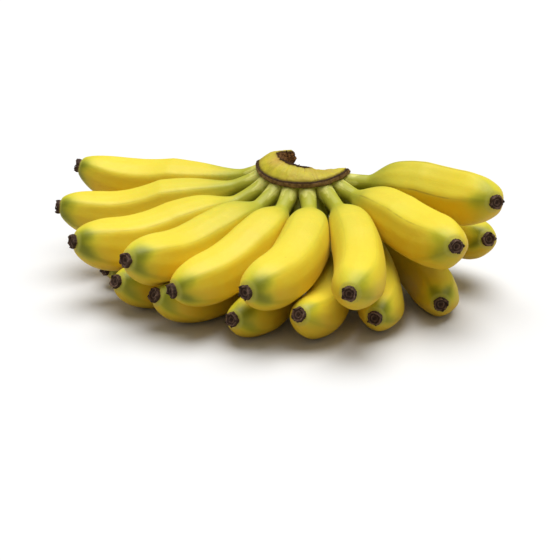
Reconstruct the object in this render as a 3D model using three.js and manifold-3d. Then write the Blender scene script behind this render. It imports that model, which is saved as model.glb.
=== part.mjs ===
// A hand of baby bananas lying with its crown up: the crown, an upper and a lower row of bananas, and the
// dried flower on each tip. Millimetres and degrees, +Z up, front towards -Y. It lies on the surface z = 0.
import * as THREE from 'three'
import ManifoldModule from 'manifold-3d'

// Driving dimensions of the hand.
const SCAR_HEIGHT = 63.7 // middle of the bract scar above the surface
const HAND_PITCH = 9.5 // how far the hand leans to the front
const HAND_ROLL = 2.6 // how far its right side is raised
const ORIGIN = new THREE.Vector3(17.7, 48, SCAR_HEIGHT) // middle of the scar's circle in the centred part
const GAP = 0.3 // air between a banana and the crown, and between a banana and its dried flower
const SKIN_GAP = 0.5 // air between the skins of two bananas that press on each other
const LEAST_GIRTH = 0.2 // share of its girth that a pressed banana keeps at least
const GIRTH_PRECISION = 0.002

// The crown's section: its outer wall below the scar, the scar, and the cut face behind the crest.
const SCAR_HALF = 1.6
const SCAR_PROUD = 0.6
const SCAR_FLAT = 0.7 // part of the scar's height that is flat
const SCAR_UNDERCUT = 2 // height of the slope from the scar back to the wall
const CROWN_WALL = 3 // how far the wall that carries the stalks stands back from the scar
const CROWN_FOOT = 7 // how far the crown's foot stands back from the scar
const CROWN_WAIST = 9.4 // where the wall begins to draw in to the foot, below the scar's middle
const CROWN_DROP = 17
const TORN_FROM = -148 // azimuth of the torn arm's end, where nearly nothing is left below the scar's middle
const TORN_TO = -122 // azimuth from which the crown is whole
const TORN_LEFT = 0.05 // share of the depth that is left at that end
const BORE_LIP = 5.1 // where the cut face meets the bore, below the scar's middle
const DOME_PART = 0.55 // how far out from the crest the crown's skin bends
const DOME_RISE = 0.75 // how high the skin is at the bend, from the scar to the crest
const CROWN_STEPS = 26

// The crown round the hand, from its back left end by the front to its right end. At each azimuth, which is
// 0 at the front and negative to the left: its outer radius, its crest's radius and height, and its bore.
const CROWN_MARKS = [
  { azimuth: -150, outer: 15, crest: 11.5, height: 3.2, bore: 10.5 },
  { azimuth: -130, outer: 19, crest: 13, height: 4.2, bore: 10 },
  { azimuth: -110, outer: 24.5, crest: 15.5, height: 5.6, bore: 9.5 },
  { azimuth: -95, outer: 27.6, crest: 16, height: 6.6, bore: 9.5 },
  { azimuth: -50, outer: 27.6, crest: 15.5, height: 7.5, bore: 10.5 },
  { azimuth: -15, outer: 27.6, crest: 15, height: 6, bore: 10.5 },
  { azimuth: 15, outer: 27.6, crest: 16, height: 4.8, bore: 10.5 },
  { azimuth: 30, outer: 27.6, crest: 17, height: 3.4, bore: 11 },
  { azimuth: 58, outer: 27.6, crest: 22.5, height: 2.6, bore: 12.5 },
  { azimuth: 66, outer: 27.6, crest: 25, height: 1.5, bore: 13.5 },
]

// A banana's girth along its length: a slender stalk, a shoulder, the ridged body and a tapered tip.
const STALK_RADIUS = 4.3
const ROOT_FLARE = 1.4 // how much wider a stalk is where it leaves the crown
const FLARE_LENGTH = 5
const SHOULDER_LENGTH = 12
const GENTLER_SHOULDERS = { upper_1: 26, upper_2: 20, upper_3: 15 }
const SHOULDER_SHAPE = 1.6
const TIP_RADIUS = 4
const TIP_LENGTH = 26
const LONGER_TIPS = { upper_1: 36 }
const TIP_SWELL = 2.2 // how late the body starts to taper to its tip
const TIP_SHAPE = 0.66 // how straight the taper is
const BELLY_START = 0.5 // part of the length from where the underside is fuller than the top
const RIDGES = 5
const RIDGE_HEIGHT = 0.03 // as a share of the girth
const ROOT_DEPTH = 4 // how far a stalk starts inside the crown before it is trimmed to it

// The rings of a banana's mesh, as parts of its length, closer together at the shoulder and the tip.
const RINGS = [0, 0.03, 0.06, 0.12, 0.17, 0.22, 0.28, 0.36, 0.46, 0.56, 0.66, 0.75, 0.82, 0.88, 0.93, 0.97, 1]
const SIDES = 3 * RIDGES
const SPINE_STEPS = 36

// The two rows: where their stalks leave the crown. Each banana: its azimuth round the crown, its heading and
// its pitch at its stalk and at its tip, its length, the girth of its body, how deep its belly hangs near the
// tip, its stalk's length and its own roll.
const ROWS = [
  {
    name: 'upper',
    radius: 25,
    drop: 6.5,
    bananas: [
      [-100, [-111, -98], [-22, 16.5], 114, 14.3, 3.2, 11, 16],
      [-84, [-83, -90], [-21, 6], 117, 13.7, 4.6, 16, 8],
      [-63, [-65, -63], [-28, 12.5], 118, 14.7, 2.6, 19, 6],
      [-41, [-43, -46], [-27, 15], 113, 14, 2, 15, 10],
      [-21, [-15, -54], [-21, -3], 110, 14, 2, 15, 10],
      [2, [7, -41], [-21.5, 4], 112, 14.5, 1.4, 14.5, 8],
      [25, [27.5, -17.3], [-18, 4.5], 119.5, 13.6, 2, 17, 2],
      [46, [47, 19], [-14, 11.5], 107, 14.4, 2, 13, -10],
      [61, [77, 28], [3, 7], 101, 14.4, 2, 14, 30],
    ],
  },
  {
    name: 'lower',
    radius: 21,
    drop: 14,
    bananas: [
      [-61, [-96, -58], [-40, 0], 107, 13.2, 2, 15, 14],
      [-45, [-61, -50], [-50, 22], 117, 13.1, 2, 17, 14],
      [-27, [-26, -56], [-50.5, 24], 117, 12.4, 2, 15, 12],
      [-8, [-3, -37], [-46, 12], 111, 12.1, 2, 17, 10],
      [17, [22, -31], [-51, 23.5], 117, 12.1, 2, 14, 0],
      [31.7, [50.5, -18], [-42, 5], 108, 12.5, 2, 13, 0],
      [49, [85, -6], [-42, 3], 110, 12.5, 2, 13, 0],
      [64.5, [121, 19], [-34, 14.5], 104.5, 12.3, 2, 11, 0],
    ],
  },
]

// The dried flower: radius and height of its profile from the middle of its foot to its hollow.
const FLOWER_PROFILE = [
  [3.6, 0],
  [3.9, 0.9],
  [3.8, 1.9],
  [3.3, 2.5],
  [2.6, 2.1],
  [2.2, 1.4],
]
const FLOWER_LOBE = 0.07

// The finish of each kind of piece.
const PEEL = { color: 0xe6cf45, roughness: 0.45 }
const CROWN_SKIN = { color: 0xb9a94a, roughness: 0.6 }
const DRIED_FLOWER = { color: 0x45302a, roughness: 0.9 }

const wasm = await ManifoldModule()
wasm.setup()

const radians = THREE.MathUtils.degToRad
const lerp = THREE.MathUtils.lerp
const clamp = THREE.MathUtils.clamp

// The way from the hand's own frame to the part's frame.
const handTurn = new THREE.Matrix4()
  .makeRotationX(radians(HAND_PITCH))
  .multiply(new THREE.Matrix4().makeRotationY(radians(-HAND_ROLL)))
  .setPosition(ORIGIN)

// A point of the hand's frame from its azimuth, radius and height round the crown.
function crownPoint(azimuth, radius, height) {
  const turn = radians(azimuth)
  return new THREE.Vector3(radius * Math.sin(turn), -radius * Math.cos(turn), height).applyMatrix4(handTurn)
}

// The middle of a ring of points.
function middleOf(ring) {
  const sum = ring.reduce((total, point) => total.add(point), new THREE.Vector3())
  return sum.divideScalar(ring.length)
}

// A closed solid from rings of points and a point at each end. The rings turn left-handed along the way.
function solidFromRings(rings, first, last) {
  const count = rings[0].length
  const points = [first, ...rings.flat(), last]
  const end = points.length - 1
  const faces = []
  for (let side = 0; side < count; side += 1) {
    const next = (side + 1) % count
    faces.push(0, 1 + side, 1 + next)
    faces.push(end, end - count + next, end - count + side)
    for (let ring = 0; ring + 1 < rings.length; ring += 1) {
      const low = 1 + ring * count
      const high = low + count
      faces.push(low + side, high + side, high + next, low + side, high + next, low + next)
    }
  }
  return new wasm.Manifold(
    new wasm.Mesh({
      numProp: 3,
      vertProperties: new Float32Array(points.flatMap((point) => point.toArray())),
      triVerts: new Uint32Array(faces),
    }),
  )
}

// A named mesh of a solid, with its finish.
function meshOf(name, solid, finish) {
  const data = solid.getMesh()
  const geometry = new THREE.BufferGeometry()
  geometry.setAttribute('position', new THREE.BufferAttribute(new Float32Array(data.vertProperties), 3))
  geometry.setIndex(new THREE.BufferAttribute(new Uint32Array(data.triVerts), 1))
  geometry.computeVertexNormals()
  const mesh = new THREE.Mesh(geometry, new THREE.MeshStandardMaterial(finish))
  mesh.name = name
  return mesh
}

// The crown's measures at an azimuth, between the marks on either side of it.
function crownAt(azimuth) {
  const next = CROWN_MARKS.findIndex((mark, index) => index > 0 && azimuth <= mark.azimuth)
  const from = CROWN_MARKS[next - 1]
  const to = CROWN_MARKS[next]
  const part = (azimuth - from.azimuth) / (to.azimuth - from.azimuth)
  return Object.fromEntries(Object.keys(to).map((key) => [key, lerp(from[key], to[key], part)]))
}

// The crown, grown by a clearance: one section swept round the hand from its back left end to its right end.
function crownSolid(clearance) {
  const from = CROWN_MARKS[0].azimuth
  const to = CROWN_MARKS[CROWN_MARKS.length - 1].azimuth
  const rings = []
  for (let step = 0; step <= CROWN_STEPS; step += 1) {
    const azimuth = lerp(from, to, step / CROWN_STEPS)
    const { outer, crest, height, bore } = crownAt(azimuth)
    const wall = outer - CROWN_WALL + clearance
    const foot = outer - CROWN_FOOT + clearance
    const section = [
      [bore, -BORE_LIP],
      [bore, -CROWN_DROP - clearance],
      [foot, -CROWN_DROP - clearance],
      [wall, -CROWN_WAIST],
      [wall, -SCAR_HALF - SCAR_UNDERCUT],
      [outer - SCAR_PROUD, -SCAR_HALF],
      [outer, -SCAR_HALF * SCAR_FLAT],
      [outer, SCAR_HALF * SCAR_FLAT],
      [outer - SCAR_PROUD, SCAR_HALF],
      [lerp(crest, outer, DOME_PART), lerp(SCAR_HALF, height, DOME_RISE)],
      [crest, height],
    ]
    const depth = lerp(TORN_LEFT, 1, THREE.MathUtils.smoothstep(azimuth, TORN_FROM, TORN_TO))
    const raised = (level) => (level < 0 ? level * depth : level)
    rings.push(section.map(([radius, level]) => crownPoint(azimuth, radius, raised(level))))
  }
  return solidFromRings(rings, middleOf(rings[0]), middleOf(rings[rings.length - 1]))
}

// The girth of a banana's body at a distance from the crown, before its ridges and before it is pressed.
function girthAt(banana, distance) {
  const shoulder = GENTLER_SHOULDERS[banana.label] ?? SHOULDER_LENGTH
  const past = Math.max(distance - banana.stalk, 0) / shoulder
  const stalk = STALK_RADIUS + ROOT_FLARE * Math.exp(-Math.max(distance, 0) / FLARE_LENGTH)
  const body = lerp(stalk, banana.girth, 1 - Math.exp(-(past ** SHOULDER_SHAPE)))
  const taper = LONGER_TIPS[banana.label] ?? TIP_LENGTH
  const nearTip = clamp(1 - (banana.length - distance) / taper, 0, 1)
  return lerp(TIP_RADIUS, body, (1 - nearTip ** TIP_SWELL) ** TIP_SHAPE)
}

// The axes of a banana's section: along it, up and to the side.
function axesAt(banana, part) {
  const heading = radians(lerp(...banana.heading, part))
  const pitch = radians(lerp(...banana.pitch, part))
  const side = new THREE.Vector3(Math.cos(heading), Math.sin(heading), 0)
  const along = new THREE.Vector3(
    Math.sin(heading) * Math.cos(pitch),
    -Math.cos(heading) * Math.cos(pitch),
    Math.sin(pitch),
  )
  return { along, side, up: along.clone().cross(side) }
}

// The banana's spine, walked from its stalk to its tip in even steps and lowered where its belly is full.
function spineFrom(start, banana) {
  const stride = banana.length / SPINE_STEPS
  const walk = [start]
  for (let step = 0; step < SPINE_STEPS; step += 1) {
    const along = axesAt(banana, (step + 0.5) / SPINE_STEPS).along
    walk.push(walk[step].clone().addScaledVector(along, stride))
  }
  return walk.map((point, step) => {
    const part = step / SPINE_STEPS
    const fullness = Math.sin(Math.PI * clamp((part - BELLY_START) / (1 - BELLY_START), 0, 1))
    return point.addScaledVector(axesAt(banana, part).up, -banana.belly * fullness)
  })
}

// How far a point lies outside a banana's round body; negative inside it.
function distanceTo(banana, point) {
  let nearest = Infinity
  const foot = new THREE.Vector3()
  for (let step = 0; step < SPINE_STEPS; step += 1) {
    const line = new THREE.Line3(banana.spine[step], banana.spine[step + 1])
    const part = line.closestPointToPointParameter(point, true)
    const girth = girthAt(banana, ((step + part) / SPINE_STEPS) * banana.length)
    nearest = Math.min(nearest, line.at(part, foot).distanceTo(point) - girth)
  }
  return nearest
}

// How much of its girth a banana keeps at a point of its skin, where others and the surface press on it. Two
// bananas share what they both would fill, so that each gives way by the same depth.
function pressed(centre, ray, girth, neighbours) {
  const clearAt = (share) => {
    const point = centre.clone().addScaledVector(ray, girth * share)
    const inside = girth * (share - 1)
    return neighbours.every((other) => distanceTo(other, point) - inside >= SKIN_GAP)
  }
  let kept = 1
  if (!clearAt(1)) {
    kept = LEAST_GIRTH
    for (let half = (1 - LEAST_GIRTH) / 2; half > GIRTH_PRECISION; half /= 2) {
      if (clearAt(kept + half)) {
        kept += half
      }
    }
  }
  const toSurface = ray.z < 0 ? -centre.z / (ray.z * girth) : Infinity
  return Math.min(kept, toSurface)
}

// A banana's solid: its rings along the spine, ridged, pressed by its neighbours and trimmed to the crown.
function bananaSolid(banana, neighbours, crownSpace) {
  const rings = RINGS.map((part) => {
    const { up, side } = axesAt(banana, part)
    const step = Math.min(Math.floor(part * SPINE_STEPS), SPINE_STEPS - 1)
    const centre = banana.spine[step].clone().lerp(banana.spine[step + 1], part * SPINE_STEPS - step)
    const girth = girthAt(banana, part * banana.length)
    const ring = []
    for (let index = 0; index < SIDES; index += 1) {
      const turn = (index / SIDES) * 2 * Math.PI
      const angle = turn + radians(banana.roll) + Math.PI / RIDGES
      const ray = up.clone().multiplyScalar(Math.cos(angle)).addScaledVector(side, Math.sin(angle))
      const ridged = girth * (1 + RIDGE_HEIGHT * Math.cos(RIDGES * turn))
      ring.push(centre.clone().addScaledVector(ray, ridged * pressed(centre, ray, ridged, neighbours)))
    }
    return ring
  })
  const rootShift = banana.root.clone().sub(banana.spine[0])
  const rootRing = rings[0].map((point) => point.clone().add(rootShift))
  const solid = solidFromRings([rootRing, ...rings], banana.root, banana.spine[SPINE_STEPS])
  const pieces = solid.subtract(crownSpace).decompose()
  return pieces.reduce((largest, piece) => (piece.volume() > largest.volume() ? piece : largest))
}

// The dried flower on a banana's tip: a five-lobed stub with a hollow end.
function flowerSolid(banana) {
  const { along, up, side } = axesAt(banana, 1)
  const base = banana.spine[SPINE_STEPS].clone().addScaledVector(along, GAP)
  const sides = 2 * RIDGES
  const rings = FLOWER_PROFILE.map(([radius, height]) => {
    const ring = []
    for (let index = 0; index < sides; index += 1) {
      const angle = (index / sides) * 2 * Math.PI + radians(banana.roll)
      const lobed = radius * (1 + FLOWER_LOBE * Math.cos(Math.PI * index))
      const ray = up.clone().multiplyScalar(Math.cos(angle)).addScaledVector(side, Math.sin(angle))
      ring.push(base.clone().addScaledVector(along, height).addScaledVector(ray, lobed))
    }
    return ring
  })
  const hollow = base.clone().addScaledVector(along, FLOWER_PROFILE[FLOWER_PROFILE.length - 1][1])
  return solidFromRings(rings, base, hollow)
}

// Every banana with its name, its spine and the point inside the crown where its stalk begins.
const bananas = ROWS.flatMap((row) =>
  row.bananas.map(([azimuth, heading, pitch, length, girth, belly, stalk, roll], index) => {
    const banana = { label: `${row.name}_${index + 1}`, heading, pitch, length, girth, belly, stalk, roll }
    const start = crownPoint(azimuth, row.radius, -row.drop)
    const root = crownPoint(azimuth, row.radius - ROOT_DEPTH, -row.drop)
    return { ...banana, root, spine: spineFrom(start, banana) }
  }),
)

const hand = new THREE.Group()
hand.add(meshOf('crown', crownSolid(0), CROWN_SKIN))
const crownSpace = crownSolid(GAP)
for (const banana of bananas) {
  const neighbours = bananas.filter((other) => other !== banana)
  const body = bananaSolid(banana, neighbours, crownSpace)
  hand.add(meshOf(`banana_${banana.label}`, body, PEEL))
  hand.add(meshOf(`dried_flower_${banana.label}`, flowerSolid(banana), DRIED_FLOWER))
}

export default hand
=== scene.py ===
import functools
import itertools
import math

import bpy
import numpy as np
from bpy.props import FloatProperty, FloatVectorProperty, IntProperty, PointerProperty
from mathutils import Matrix, Vector


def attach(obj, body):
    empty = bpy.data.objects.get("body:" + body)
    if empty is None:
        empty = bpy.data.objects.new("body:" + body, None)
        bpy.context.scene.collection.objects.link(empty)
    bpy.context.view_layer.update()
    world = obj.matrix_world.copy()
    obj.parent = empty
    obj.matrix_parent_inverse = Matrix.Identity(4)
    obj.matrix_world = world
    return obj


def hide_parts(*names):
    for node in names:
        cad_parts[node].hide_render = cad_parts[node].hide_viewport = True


bl_info = {
    "name": "Baby Banana Hand",
    "version": (1, 0, 0),
    "blender": (4, 5, 0),
    "location": "View3D > Sidebar > Banana Hand",
    "description": "Grows the peel, crown and dried flowers of a hand of baby bananas round its packed frame",
    "category": "Add Mesh",
}

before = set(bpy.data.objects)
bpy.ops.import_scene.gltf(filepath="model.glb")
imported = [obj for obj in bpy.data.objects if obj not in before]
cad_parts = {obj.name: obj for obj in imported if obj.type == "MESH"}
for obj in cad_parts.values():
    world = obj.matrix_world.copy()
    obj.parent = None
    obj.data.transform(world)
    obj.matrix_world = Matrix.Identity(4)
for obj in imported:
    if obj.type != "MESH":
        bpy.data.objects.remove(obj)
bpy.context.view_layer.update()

# ---------------------------------------------------------------------------------------------------------
# The hand's measures, in millimetres and degrees, as its solids have them.

MM = 0.001
SCAR_HEIGHT = 63.7
HAND_PITCH = 9.5
HAND_ROLL = 2.6
HAND_ORIGIN = (17.7, 48, SCAR_HEIGHT)

CROWN_DROP = 17
CROWN_WALL = 3
CROWN_FOOT = 7
CROWN_WAIST = 9.4
BORE_LIP = 5.1
SCAR_HALF = 1.6
SCAR_UNDERCUT = 2

# Azimuth round the crown, outer radius, crest's radius, crest's height and bore.
CROWN_MARKS = [
    (-150, 15, 11.5, 3.2, 10.5),
    (-130, 19, 13, 4.2, 10),
    (-110, 24.5, 15.5, 5.6, 9.5),
    (-95, 27.6, 16, 6.6, 9.5),
    (-50, 27.6, 15.5, 7.5, 10.5),
    (-15, 27.6, 15, 6, 10.5),
    (15, 27.6, 16, 4.8, 10.5),
    (30, 27.6, 17, 3.4, 11),
    (58, 27.6, 22.5, 2.6, 12.5),
    (66, 27.6, 25, 1.5, 13.5),
]

STALK_RADIUS = 4.3
ROOT_FLARE = 1.4
FLARE_LENGTH = 5
SHOULDER_LENGTH = 12
GENTLER_SHOULDERS = {"upper_1": 26, "upper_2": 20, "upper_3": 15}
SHOULDER_SHAPE = 1.6
TIP_RADIUS = 4
TIP_LENGTH = 26
LONGER_TIPS = {"upper_1": 36}
TIP_SWELL = 2.2
TIP_SHAPE = 0.66
BELLY_START = 0.5
RIDGES = 5
ROOT_DEPTH = 4

# Azimuth, heading and pitch at the stalk and at the tip, length, girth, belly, stalk and roll of each banana.
# Then how green it still is and how strongly its ridges are rubbed brown, both from 0 to 1, and the side of
# its tip that stays green longest, in degrees from its top.
ROWS = {
    "upper": {
        "radius": 25,
        "drop": 6.5,
        "bananas": [
            (-100, (-111, -98), (-22, 16.5), 114, 14.3, 3.2, 11, 16, 0.25, 0.2, 78),
            (-84, (-83, -90), (-21, 6), 117, 13.7, 4.6, 16, 8, 0.4, 0.3, 76),
            (-63, (-65, -63), (-28, 12.5), 118, 14.7, 2.6, 19, 6, 0.3, 0.4, 72),
            (-41, (-43, -46), (-27, 15), 113, 14, 2, 15, 10, 0.5, 0.3, 74),
            (-21, (-15, -54), (-21, -3), 110, 14, 2, 15, 10, 0.3, 0.1, 80),
            (2, (7, -41), (-21.5, 4), 112, 14.5, 1.4, 14.5, 8, 0.35, 0.15, 70),
            (25, (27.5, -17.3), (-18, 4.5), 119.5, 13.6, 2, 17, 2, 0.4, 0.2, 60),
            (46, (47, 19), (-14, 11.5), 107, 14.4, 2, 13, -10, 0.3, 0.9, -95),
            (61, (77, 28), (3, 7), 101, 14.4, 2, 14, 30, 0.45, 1, -60),
        ],
    },
    "lower": {
        "radius": 21,
        "drop": 14,
        "bananas": [
            (-61, (-96, -58), (-40, 0), 107, 13.2, 2, 15, 14, 0.8, 0.2, 60),
            (-45, (-61, -50), (-50, 22), 117, 13.1, 2, 17, 14, 0.8, 0.2, 60),
            (-27, (-26, -56), (-50.5, 24), 117, 12.4, 2, 15, 12, 0.6, 0.2, 60),
            (-8, (-3, -37), (-46, 12), 111, 12.1, 2, 17, 10, 0.8, 0.3, 50),
            (17, (22, -31), (-51, 23.5), 117, 12.1, 2, 14, 0, 0.6, 0.2, 50),
            (31.7, (50.5, -18), (-42, 5), 108, 12.5, 2, 13, 0, 0.6, 0.2, 50),
            (49, (85, -6), (-42, 3), 110, 12.5, 2, 13, 0, 0.7, 0.2, 0),
            # lower_8's tip green is turned to its left to paint the shadow that upper_9 throws on it, as well
            # as its real green.
            (64.5, (121, 19), (-34, 14.5), 104.5, 12.3, 2, 11, 0, 0.9, 0.3, -50),
        ],
    },
}

# How strong the ridges of the rounder bananas are, as a share of the others.
FAINTER_RIDGES = {"upper_5": 0.8, "upper_6": 0.5, "upper_7": 0.5, "lower_5": 0.6, "lower_6": 0.7}

# How green the tips of some bananas are, as a share of the others.
# On lower_8 the stronger green patch also paints the shadow that upper_9 throws on its left half.
TIP_GREENNESS_AND_SHADE = {"upper_7": 0.5, "upper_8": 0.5, "upper_9": 0.55, "lower_5": 0.6, "lower_8": 1.5}


def blend(start, end, share):
    """The value a share of the way from start to end."""
    return start + (end - start) * share


def hand_to_part():
    """The turn and shift from the hand's own frame to the part's."""
    pitch = Matrix.Rotation(math.radians(HAND_PITCH), 4, "X")
    roll = Matrix.Rotation(-math.radians(HAND_ROLL), 4, "Y")
    return np.array(Matrix.Translation(Vector(HAND_ORIGIN) * MM) @ pitch @ roll)


HAND_TURN = hand_to_part()


def crown_points(azimuth, radius, level):
    """Points of the part from azimuths in degrees, and radii and levels in millimetres, round the crown."""
    turn = np.radians(azimuth)
    flat = np.stack(np.broadcast_arrays(radius * np.sin(turn), -radius * np.cos(turn), level), -1) * MM
    return flat @ HAND_TURN[:3, :3].T + HAND_TURN[:3, 3]


def crown_marks(azimuth):
    """The crown's outer radius, crest's radius, crest's height and bore at azimuths round it."""
    marks = np.array(CROWN_MARKS)
    return [np.interp(azimuth, marks[:, 0], marks[:, column]) for column in range(1, 5)]


class Banana:
    """One banana's rule: its spine, its axes and its girth, all by the part of its length from 0 to 1."""

    def __init__(self, row, index, values):
        azimuth, heading, pitch, length, girth, belly, stalk, roll, greenness, rubbed, green_side = values
        radius, drop = ROWS[row]["radius"], ROWS[row]["drop"]
        self.name = f"{row}_{index}"
        self.heading = np.radians(heading)
        self.pitch = np.radians(pitch)
        self.length = length * MM
        self.body = girth * MM
        self.belly = belly * MM
        self.shoulder = GENTLER_SHOULDERS.get(self.name, SHOULDER_LENGTH) * MM
        self.taper = LONGER_TIPS.get(self.name, TIP_LENGTH) * MM
        self.stalk = stalk * MM
        self.roll = math.radians(roll)
        self.greenness = greenness
        self.rubbed = rubbed
        self.green_side = math.radians(green_side)
        self.tip_green_and_shade = TIP_GREENNESS_AND_SHADE.get(self.name, 1.0)
        self.ridged = FAINTER_RIDGES.get(self.name, 1.0)
        self.root = crown_points(azimuth, radius - ROOT_DEPTH, -drop)
        self.start = crown_points(azimuth, radius, -drop)

    def axes(self, parts):
        """Unit vectors along the banana, up and to the side."""
        heading = blend(*self.heading, parts)
        pitch = blend(*self.pitch, parts)
        side = np.stack([np.cos(heading), np.sin(heading), np.zeros_like(heading)], -1)
        level = np.cos(pitch)
        along = np.stack([np.sin(heading) * level, -np.cos(heading) * level, np.sin(pitch)], -1)
        return along, np.cross(along, side), side

    def spine(self, parts):
        """Places on the banana's middle line, walked from its stalk and lowered where its belly is full."""
        middles = (parts[1:] + parts[:-1]) / 2
        strides = np.diff(parts)[:, None] * self.length
        walk = self.start + np.concatenate([np.zeros((1, 3)), np.cumsum(self.axes(middles)[0] * strides, 0)])
        fullness = np.sin(math.pi * np.clip((parts - BELLY_START) / (1 - BELLY_START), 0, 1))
        return walk - self.axes(parts)[1] * (self.belly * fullness)[:, None]

    def girths(self, parts):
        """The radius of its round body, before its ridges and before it is pressed."""
        distance = parts * self.length
        past = np.maximum(distance - self.stalk, 0) / self.shoulder
        stalk = (STALK_RADIUS + ROOT_FLARE * np.exp(-np.maximum(distance, 0) / (FLARE_LENGTH * MM))) * MM
        body = blend(stalk, self.body, 1 - np.exp(-(past**SHOULDER_SHAPE)))
        near_tip = np.clip(1 - (self.length - distance) / self.taper, 0, 1)
        return blend(TIP_RADIUS * MM, body, (1 - near_tip**TIP_SWELL) ** TIP_SHAPE)


BANANAS = [
    Banana(row, index, values)
    for row, place in ROWS.items()
    for index, values in enumerate(place["bananas"], start=1)
]


# ---------------------------------------------------------------------------------------------------------
# Tools for meshes.

# Points along each side of the noise's repeating lattice.
LATTICE = 16


def lattice_noise(points, size, seed):
    """Smooth noise from -1 to 1 at points, with lumps of a size in metres."""
    lattice = np.random.default_rng(seed).uniform(-1, 1, (LATTICE, LATTICE, LATTICE))
    place = points / size
    base = np.floor(place).astype(int)
    part = place - base
    part = part * part * (3 - 2 * part)
    total = np.zeros(len(points))
    for corner in itertools.product((0, 1), repeat=3):
        weight = np.prod(np.where(corner, part, 1 - part), axis=1)
        x, y, z = ((base + corner) % LATTICE).T
        total += weight * lattice[x, y, z]
    return total


def lumpy_noise(points, size, small_size, small_share, seed):
    """Smooth noise with smaller lumps on it, which have a share of its strength."""
    small = lattice_noise(points, small_size, seed + 1)
    return lattice_noise(points, size, seed) + small_share * small


def soft_min(first, second, softness):
    """The smaller of two lengths, rounded off over a softness where they meet."""
    near = np.clip(1 - np.abs(first - second) / softness, 0, 1)
    return np.minimum(first, second) - near * near * softness / 4


def smooth_step(values, low, high):
    """0 below low, 1 above high and an S-shaped way between them."""
    share = np.clip((values - low) / (high - low), 0, 1)
    return share * share * (3 - 2 * share)


def read_points(mesh):
    """The mesh's points as an array."""
    flat = np.empty(len(mesh.vertices) * 3)
    mesh.vertices.foreach_get("co", flat)
    return flat.reshape(-1, 3)


def write_points(mesh, points):
    """Moves the mesh's points."""
    mesh.vertices.foreach_set("co", points.ravel())
    mesh.update()


def read_normals(mesh):
    """The outward direction at each of the mesh's points."""
    flat = np.empty(len(mesh.vertices) * 3)
    mesh.vertex_normals.foreach_get("vector", flat)
    return flat.reshape(-1, 3)


def read_rings(mesh):
    """Which point of its line each point of a swept skin belongs to."""
    rings = np.empty(len(mesh.vertices), np.int32)
    mesh.attributes["ring"].data.foreach_get("value", rings)
    return rings


def write_attributes(mesh, **measures):
    """Stores a number or a direction at each point of the mesh, or one number at all of them."""
    for name, values in measures.items():
        values = np.asarray(values, float)
        if values.ndim == 0:
            values = np.full(len(mesh.vertices), values)
        kind, field = ("FLOAT", "value") if values.ndim == 1 else ("FLOAT_VECTOR", "vector")
        attribute = mesh.attributes.get(name) or mesh.attributes.new(name, kind, "POINT")
        attribute.data.foreach_set(field, values.ravel())


def link_object(name, data):
    """A new object of a mesh, a light or a camera in the scene."""
    made = bpy.data.objects.new(name, data)
    bpy.context.scene.collection.objects.link(made)
    return made


def face_outwards(mesh):
    """Turns a closed mesh's faces round if they look inwards."""
    points = read_points(mesh)
    mesh.calc_loop_triangles()
    corners = np.array([triangle.vertices[:] for triangle in mesh.loop_triangles])
    a, b, c = (points[corners[:, column]] for column in range(3))
    if np.einsum("ij,ij->i", a, np.cross(b, c)).sum() < 0:
        mesh.flip_normals()


def closed_mesh(name, rings):
    """A smooth closed mesh from rings of points, with a fan over each end and its faces outwards."""
    count, sides = rings.shape[:2]
    points = np.concatenate([rings.reshape(-1, 3), rings[:1].mean(1), rings[-1:].mean(1)])
    ring, side = np.mgrid[0 : count - 1, 0:sides]
    near, far, after = ring * sides, (ring + 1) * sides, (side + 1) % sides
    faces = np.stack([near + side, far + side, far + after, near + after], -1).reshape(-1, 4).tolist()
    first_middle, last_ring = count * sides, (count - 1) * sides
    for side in range(sides):
        after = (side + 1) % sides
        faces.append((first_middle, side, after))
        faces.append((first_middle + 1, last_ring + after, last_ring + side))
    mesh = bpy.data.meshes.new(name)
    mesh.from_pydata(points.tolist(), [], faces)
    mesh.shade_smooth()
    face_outwards(mesh)
    return mesh


def grow(piece, tree, values):
    """Runs a geometry tree on a piece once with some inputs, and keeps the result as its plain mesh."""
    modifier = piece.modifiers.new(tree.name, "NODES")
    modifier.node_group = tree
    for item in tree.interface.items_tree:
        if item.item_type == "SOCKET" and item.in_out == "INPUT" and item.name in values:
            modifier[item.identifier] = values[item.name]
    depsgraph = bpy.context.evaluated_depsgraph_get()
    grown = bpy.data.meshes.new_from_object(
        piece.evaluated_get(depsgraph), preserve_all_data_layers=True, depsgraph=depsgraph
    )
    seed_mesh = piece.data
    piece.modifiers.clear()
    piece.data = grown
    bpy.data.meshes.remove(seed_mesh)
    grown.name = piece.name
    return piece


def finish_piece(piece, slot, *nodes):
    """Lets a piece ride on the hand and stand for its solids. The slot is not used."""
    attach(piece, "root")
    if nodes:
        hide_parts(*nodes)


# ---------------------------------------------------------------------------------------------------------
# Tools for node trees. A new node goes into the tree of the outputs that feed it.

NUMBER_SOCKETS = {int: "Int", float: "Float"}


def tree_of(values):
    """The node tree that the first output among some values belongs to."""
    return next(value.id_data for value in values if isinstance(value, bpy.types.NodeSocket))


def feed(inputs, values):
    """Joins an output to each input, by its name or number, or writes a plain value into it."""
    for key, value in values.items():
        if isinstance(value, bpy.types.NodeSocket):
            value.id_data.links.new(value, inputs[key])
        else:
            inputs[key].default_value = value


def add_node(tree, kind, inputs=None, **settings):
    """Adds a node with its settings and feeds its inputs."""
    node = tree.nodes.new(kind)
    for name, value in settings.items():
        setattr(node, name, value)
    feed(node.inputs, inputs or {})
    return node


def result_of(tree, kind, inputs=None, **settings):
    """The first output of a new node."""
    return add_node(tree, kind, inputs, **settings).outputs[0]


def calc(operation, *values):
    """A Math node's result."""
    return result_of(tree_of(values), "ShaderNodeMath", dict(enumerate(values)), operation=operation)


def times(*values):
    """The product of some values."""
    return functools.reduce(lambda first, second: calc("MULTIPLY", first, second), values)


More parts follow.
